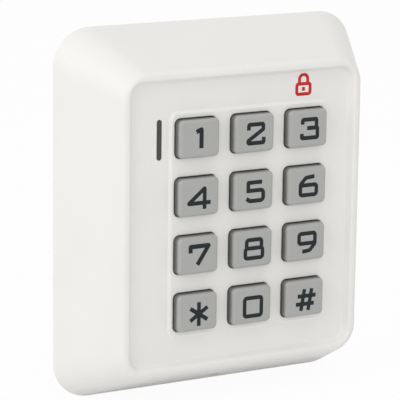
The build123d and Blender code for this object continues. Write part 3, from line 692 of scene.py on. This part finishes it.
SIGNS = {
    "1": [([(-0.54, 0.76), (0.05, 1.0), (0.05, -1.0)], False, SHARP)],
    "2": [([(-0.85, 0.4), (-0.85, 1.0), (0.85, 1.0), (0.85, 0.42), (-0.9, -0.72), (-0.9, -1.0),
            (0.92, -1.0), (0.92, -0.42)], False, SOFT)],
    "3": [([(-0.85, 0.5), (-0.85, 1.0), (0.82, 1.0), (0.82, 0.06), (-0.3, 0.06)], False, SOFT),
          ([(-0.3, 0.06), (0.95, 0.06), (0.95, -1.0), (-0.92, -1.0), (-0.92, -0.5)], False, SOFT)],
    "4": [([(0.5, -1.28), (0.5, 0.95), (-1.35, -0.6), (1.2, -0.6)], False, SHARP)],
    "5": [([(0.82, 1.0), (-0.8, 1.0), (-0.8, -0.1)], False, SHARP),
          ([(-0.8, 0.12), (0.98, 0.12), (0.98, -1.0), (-0.6, -1.0), (-1.0, -0.72)], False, ROUND)],
    "6": [([(0.72, 1.0), (-0.3, 0.9), (-0.95, 0.2), (-0.95, -0.5)], False, ROUND),
          ([(-0.95, 0.08), (0.98, 0.08), (0.98, -1.0), (-0.95, -1.0)], True, RING)],
    "7": [([(-1.05, 0.32), (-1.05, 1.0), (1.05, 1.0), (-0.25, -1.0)], False, SHARP)],
    "8": [([(-0.88, 1.0), (0.88, 1.0), (0.88, 0.08), (-0.88, 0.08)], True, RING),
          ([(-1.02, 0.08), (1.02, 0.08), (1.02, -1.0), (-1.02, -1.0)], True, RING)],
    "9": [([(-0.55, -1.0), (0.35, -0.9), (0.95, -0.2), (0.95, 0.5)], False, ROUND),
          ([(-0.98, 1.0), (0.95, 1.0), (0.95, -0.1), (-0.98, -0.1)], True, RING)],
    "star": [([(0.0, 1.3), (0.0, -1.3)], False, SHARP),
             ([(-1.0, 0.68), (1.0, -0.68)], False, SHARP),
             ([(-1.0, -0.68), (1.0, 0.68)], False, SHARP)],
    "0": [([(-1.0, 1.0), (1.0, 1.0), (1.0, -1.0), (-1.0, -1.0)], True, RING)],
    "hash": [([(-0.18, 1.2), (-0.58, -1.2)], False, SHARP),
             ([(0.7, 1.2), (0.3, -1.2)], False, SHARP),
             ([(-1.0, 0.43), (1.2, 0.43)], False, SHARP),
             ([(-1.2, -0.46), (1.0, -0.46)], False, SHARP)],
}


def scaled(strokes, half_width, half_height):
    return [([(x * half_width, y * half_height) for x, y in line], closed, corner * MM)
            for line, closed, corner in strokes]


print(sum(len(strokes) for strokes in SIGNS.values()), "strokes in", len(SIGNS), "signs")

# %% Print each key
ink = {"Width": INK_WIDTH, "Thickness": INK_THICKNESS, "Corner Steps": 5, "Material": dark_ink}
for sign, strokes in SIGNS.items():
    low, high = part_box(f"key_{sign}")
    middle = (low + high) / 2
    drop = LAST_ROW_DROP if sign in LAST_ROW else 0
    place = face_front(middle.x + SIGN_SHIFT_X, low.y, middle.z - drop)
    width = BOLD_WIDTH if sign in BOLD_SIGNS else INK_WIDTH
    bake(f"numeral_{sign}", sketch_of(scaled(strokes, SIGN_HALF_WIDTH, SIGN_HALF_HEIGHT)),
         stroke_tree, {**ink, "Width": width}, place, f"key_{sign}_body")
print("printed", len(SIGNS), "keys")

# %% [markdown]
# ## The red mark
# Above the last column stands a small red mark. A padlock says what the panel does and belongs to
# nobody. It is two strokes and a keyhole from the same tree, printed on the floor of the dished front.

# %% Padlock
MARK_HALF_WIDTH = 2.2 * MM
MARK_HALF_HEIGHT = 2.8 * MM
MARK_INK_WIDTH = 0.95 * MM
MARK_LEFT = 0.2 * MM
MARK_ABOVE_KEY = 6.0 * MM
PADLOCK = [
    ([(-1.0, -1.0), (1.0, -1.0), (1.0, 0.05), (-1.0, 0.05)], True, 0.55),
    ([(-0.62, 0.05), (-0.62, 1.0), (0.62, 1.0), (0.62, 0.05)], False, 1.3),
    ([(0.0, -0.28), (0.0, -0.68)], False, SHARP),
]
last_key_low, last_key_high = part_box("key_3")
recess_floor_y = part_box("status_lens")[0].y
mark_x = (last_key_low.x + last_key_high.x) / 2 - MARK_LEFT
mark_z = last_key_high.z + MARK_ABOVE_KEY
bake("padlock_mark", sketch_of(scaled(PADLOCK, MARK_HALF_WIDTH, MARK_HALF_HEIGHT)), stroke_tree,
     {**ink, "Width": MARK_INK_WIDTH, "Material": red_ink},
     face_front(mark_x, recess_floor_y, mark_z))
print("padlock at", round(mark_x / MM, 1), round(mark_z / MM, 1), "mm")

# %% [markdown]
# ## Small round things, many times
# Solder joints, plated holes and the rings that ejector pins leave in moulded plastic are the same
# little shape at many points. Placing copies one by one would be slow and heavy to change. A tree
# puts one shape on every point of a sketch, and the sizes are its inputs.

# %% Geometry Nodes trees: solder joints and rings
def make_joint_tree():
    tree, given, out = new_group(
        "solder_joints", "GeometryNodeTree",
        {"Geometry": "Geometry", "Foot Radius": "Float", "Top Radius": "Float", "Height": "Float",
         "Material": "Material"}, {"Geometry": "Geometry"})
    cone = add(tree, "GeometryNodeMeshCone", {
        "Vertices": 16, "Side Segments": 2, "Radius Top": given["Top Radius"],
        "Radius Bottom": given["Foot Radius"], "Depth": given["Height"]})
    copies = add(tree, "GeometryNodeInstanceOnPoints", {"Points": given["Geometry"],
                                                        "Instance": cone.outputs[0]})
    finish_tree(tree, copies.outputs[0], given["Material"], out["Geometry"])
    return tree


def make_ring_tree():
    tree, given, out = new_group(
        "rings", "GeometryNodeTree",
        {"Geometry": "Geometry", "Radius": "Float", "Width": "Float", "Thickness": "Float",
         "Material": "Material"}, {"Geometry": "Geometry"})
    circle = add(tree, "GeometryNodeCurvePrimitiveCircle", {"Resolution": 32,
                                                            "Radius": given["Radius"]})
    nib = add(tree, "GeometryNodeCurvePrimitiveQuadrilateral",
              {"Width": given["Width"], "Height": given["Thickness"]})
    ring = add(tree, "GeometryNodeCurveToMesh", {"Curve": circle.outputs[0],
                                                 "Profile Curve": nib.outputs[0]})
    copies = add(tree, "GeometryNodeInstanceOnPoints", {"Points": given["Geometry"],
                                                        "Instance": ring.outputs[0]})
    finish_tree(tree, copies.outputs[0], given["Material"], out["Geometry"])
    return tree


def points_of(places):
    """A sketch of loose points."""
    sketch = bpy.data.meshes.new("points")
    sketch.from_pydata([(x, y, 0.0) for x, y in places], [], [])
    return sketch


joint_tree = make_joint_tree()
ring_tree = make_ring_tree()
print("trees:", [tree.name for tree in (stroke_tree, joint_tree, ring_tree)])

# %% [markdown]
# ## Switch frames and joints
# Each key presses a tactile switch: a black body under a thin steel frame, soldered by four legs.
# The frames are square strokes, and the joints are cones that taper from the pad to the leg. The
# twelve keys say where the switches are.

# %% Frames, legs and through-hole joints on the board's front
key_signs = list(SIGNS)
board_low, board_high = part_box("main_board")


def middle_of(node):
    low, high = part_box(node)
    return (low + high) / 2


switch_middles = [(middle_of(f"key_{sign}").x, middle_of(f"key_{sign}").z) for sign in key_signs]
switch_top_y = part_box("switch_bodies")[0].y
FRAME_HALF = 2.12 * MM
FRAME_CORNER, FRAME_WIDTH, FRAME_THICKNESS = 0.5 * MM, 0.8 * MM, 0.12 * MM
frame_strokes = [([(x + side * FRAME_HALF, z + end * FRAME_HALF)
                   for side, end in ((-1, -1), (1, -1), (1, 1), (-1, 1))], True, FRAME_CORNER)
                 for x, z in switch_middles]
bake("switch_frames", sketch_of(frame_strokes), stroke_tree,
     {"Width": FRAME_WIDTH, "Thickness": FRAME_THICKNESS, "Corner Steps": 3,
      "Material": can_metal},
     face_front(0, switch_top_y, 0), "case")

LEG_OUT, LEG_ALONG = 3.6 * MM, 2.25 * MM
leg_places = [(x + side * LEG_OUT, z + end * LEG_ALONG)
              for x, z in switch_middles for side in (-1, 1) for end in (-1, 1)]
joint = {"Foot Radius": 0.55 * MM, "Top Radius": 0.22 * MM, "Height": 0.5 * MM, "Material": solder}
on_front = face_front(0, board_low.y, 0)
bake("switch_joints", points_of(leg_places), joint_tree, joint, on_front, "case")

WAYS, WAY_PITCH = 5, 5.0 * MM
pin_rows = (("terminal_block", WAYS, WAY_PITCH), ("crystal", 2, 4.9 * MM), ("buzzer", 2, 6.5 * MM))
pin_places = []
for node, count, pitch in pin_rows:
    middle = middle_of(node)
    pin_places += [(middle.x + (pin - (count - 1) / 2) * pitch, middle.z) for pin in range(count)]
big_joint = {**joint, "Foot Radius": 0.9 * MM, "Top Radius": 0.35 * MM, "Height": 0.7 * MM}
bake("pin_joints", points_of(pin_places), joint_tree, big_joint, on_front, "case")
print(len(leg_places), "leg joints and", len(pin_places), "pin joints")

# %% [markdown]
# ## Tracks
# Copper runs under the solder mask as low, slightly paler lines. On a key matrix each row of
# switches shares a track on one side of the board and each column shares one on the other. They could
# be painted in the board's material, but real height catches the light, and a loop over the keys
# gives every line.

# %% Track material and the key matrix
COVERED_COPPER = (0.03, 0.24, 0.085, 1.0)


def make_covered_copper():
    made, tree, shader = new_material("covered_copper", Coat_Weight=0.35, Coat_Roughness=0.12)
    tone = grain_on(tree, shader, COVERED_COPPER, 0.35, drift=0.06)
    tree.links.new(tone, shader.inputs["Base Color"])
    return made


covered_copper = make_covered_copper()
track = {"Width": 0.4 * MM, "Thickness": 0.06 * MM, "Corner Steps": 2, "Material": covered_copper}
COLUMNS = 3
rows = [switch_middles[i:i + COLUMNS] for i in range(0, len(switch_middles), COLUMNS)]
ROW_DROP, COLUMN_SHIFT = 4.6 * MM, 5.2 * MM
EDGE_ROOM, ROW_LANE, TRACK_CORNER = 6.0 * MM, 1.2 * MM, 1.2 * MM
COLUMN_JOG = 3.0 * MM
row_lines, column_lines = [], []
for number, row in enumerate(rows):
    z = row[0][1] - ROW_DROP
    start = row[0][0] - LEG_OUT
    right = board_high.x - EDGE_ROOM - number * ROW_LANE
    row_lines.append(([(start, z + ROW_DROP - LEG_ALONG), (start, z), (right, z),
                       (right, board_high.z - EDGE_ROOM)], False, TRACK_CORNER))
for column in range(COLUMNS):
    x = rows[0][column][0] + COLUMN_SHIFT
    column_lines.append(([(x, rows[-1][column][1] - ROW_DROP), (x, rows[0][column][1]),
                          (x + COLUMN_JOG, rows[0][column][1] + ROW_DROP)], False, TRACK_CORNER))
bake("row_tracks", sketch_of(row_lines), stroke_tree, track, on_front, "case")
print(len(row_lines), "row tracks on the front,", len(column_lines), "column tracks on the back")

# %% [markdown]
# ## The board's back
# This is the side that an installer sees: the terminals, the chips and white outlines that show
# where each part sits. The outlines are strokes round each part's own box from the frame, so they
# fit whatever the parts do. A sketch for this side is mirrored by turning it to face the wall, so
# its X is written with the opposite sign.

# %% Outlines, back tracks and plated holes
PRINT_ROOM, PRINT_CORNER = 0.5 * MM, 0.4 * MM
outlined = ["buzzer", "terminal_block", "microcontroller", "bus_transceiver", "voltage_regulator",
            "crystal", "pin_header", "tamper_switch"]


def outline_round(node):
    low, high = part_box(node)
    left, right = -high.x - PRINT_ROOM, -low.x + PRINT_ROOM
    bottom, top = low.z - PRINT_ROOM, high.z + PRINT_ROOM
    return ([(left, bottom), (right, bottom), (right, top), (left, top)], True, PRINT_CORNER)


def seen_from_wall(lines):
    return [([(-x, z) for x, z in line], closed, corner) for line, closed, corner in lines]


on_back = face_wall(0, board_high.y, 0)
outlines = [outline_round(node) for node in outlined]
bake("board_print", sketch_of(outlines), stroke_tree,
     {"Width": 0.2 * MM, "Thickness": 0.04 * MM, "Corner Steps": 3, "Material": white_ink}, on_back)

terminal = middle_of("terminal_block")
chip = middle_of("bus_transceiver")
LANE = 1.27 * MM
HOLE_DROP, FIRST_LANE_DROP, LANE_FALL = 4.0 * MM, 6.0 * MM, 2.0 * MM
CHIP_ROOM = 3.5 * MM
chip_side_x = chip.x - CHIP_ROOM
SUPPLY_CORNER = 0.8 * MM
supply_lines = []
for way in range(WAYS):
    from_middle = way - (WAYS - 1) / 2
    x = terminal.x + from_middle * WAY_PITCH
    z = terminal.z - (FIRST_LANE_DROP + way * LANE)
    supply_lines.append(([(x, terminal.z - HOLE_DROP), (x, z), (chip_side_x, z - LANE_FALL),
                          (chip_side_x, chip.z + from_middle * LANE)], False, SUPPLY_CORNER))
bake("back_tracks", sketch_of(seen_from_wall(supply_lines + column_lines)), stroke_tree, track,
     on_back, "case")
holes = [(-line[0][0], line[0][1]) for line, _, _ in column_lines + supply_lines]
bake("plated_holes", points_of(holes), ring_tree,
     {"Radius": 0.45 * MM, "Width": 0.35 * MM, "Thickness": 0.08 * MM, "Material": pin_gold},
     on_back, "case")
print(len(outlines), "outlines,", len(supply_lines), "supply tracks,", len(holes), "plated holes")

# %% [markdown]
# ## The back plate's mould marks
# A moulded plate carries faint rings where ejector pins pushed it off the mould, and an arrow that
# says which way is up. The rings are a few hundredths of a millimetre high, enough to catch a low
# light and too little to hold the plate off the wall.

# %% Ejector rings and the arrow
plate_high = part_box("rear_plate")[1]
outer_rings = [(x * MM, z * MM) for x in (-38, 38) for z in (-12, 12)]
inner_rings = [(x * MM, z * MM) for x in (-14, 14) for z in (-41, 41)]
ring_places = outer_rings + inner_rings
bake("ejector_rings", points_of(ring_places), ring_tree,
     {"Radius": 2.4 * MM, "Width": 0.3 * MM, "Thickness": 0.08 * MM, "Material": plate_white},
     face_wall(0, plate_high.y, 0), "case")

ARROW = [([(0.0, -1.0), (0.0, 0.9)], False, 0.1), ([(-0.7, 0.1), (0.0, 1.0), (0.7, 0.1)], False, 0.1)]
ARROW_HALF_WIDTH, ARROW_HALF_HEIGHT, ARROW_BELOW_TOP = 2.5 * MM, 3.0 * MM, 12.0 * MM
bake("up_arrow", sketch_of(scaled(ARROW, ARROW_HALF_WIDTH, ARROW_HALF_HEIGHT)), stroke_tree,
     {"Width": 0.7 * MM, "Thickness": INK_THICKNESS, "Corner Steps": 2, "Material": grey_ink},
     face_wall(0, plate_high.y, plate_high.z - ARROW_BELOW_TOP))
print(len(ring_places), "ejector rings")

# %% [markdown]
# ## Sizes, and the end
# Looks never change the size: the finished keypad keeps the CAD model's box, apart from the
# thickness of ink. Both boxes are written out to be compared.

# %% Write the sizes and finish
low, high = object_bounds()
print("visual size in mm:", [round(side / MM, 2) for side in high - low])
